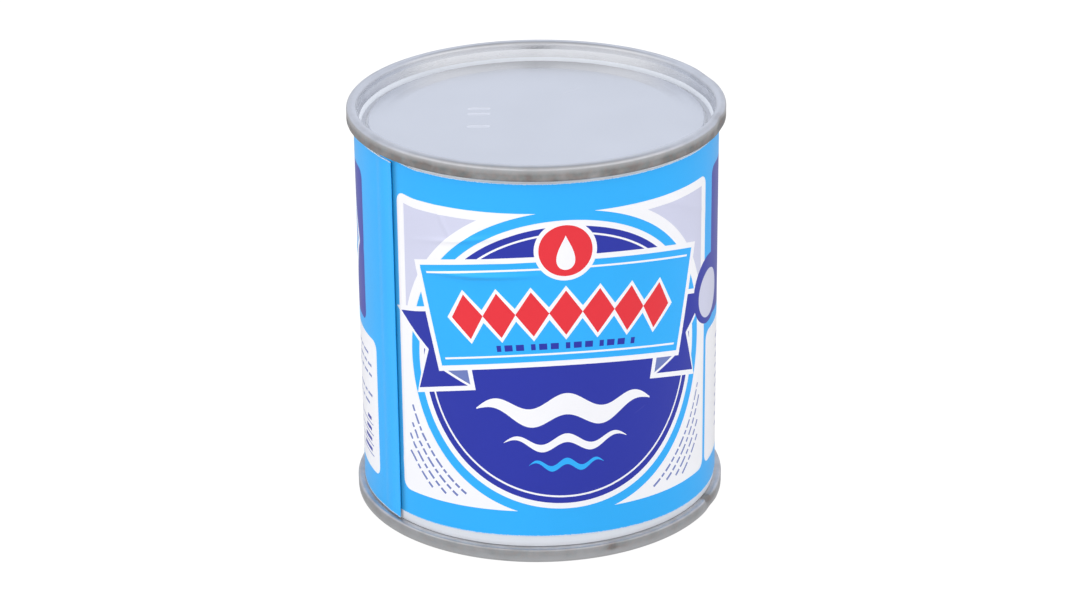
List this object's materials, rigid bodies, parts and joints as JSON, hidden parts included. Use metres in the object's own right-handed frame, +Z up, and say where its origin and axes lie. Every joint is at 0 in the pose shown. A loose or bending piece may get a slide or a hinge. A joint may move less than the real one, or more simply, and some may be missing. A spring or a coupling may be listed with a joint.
{
  "type": "food can",
  "caption": "Shut cylindrical food can with rolled seams, countersunk metal ends and a glued paper wrap label.",
  "frame": {"origin": "centre of the foot ring, on the surface the can stands on", "axes": "+Z up along the can's axis; -Y towards the front of the print"},
  "size_m": [0.076, 0.076, 0.0845],
  "materials": {
    "shell_tin": "tinplate, satin",
    "end_tin": "tinplate, satin, lightly worn",
    "printed_paper": "printed semi-gloss paper"
  },
  "bodies": {
    "root": {"body": "shell_tin", "base": "end_tin", "lid": "end_tin", "label": "printed_paper"}
  },
  "joints": []
}
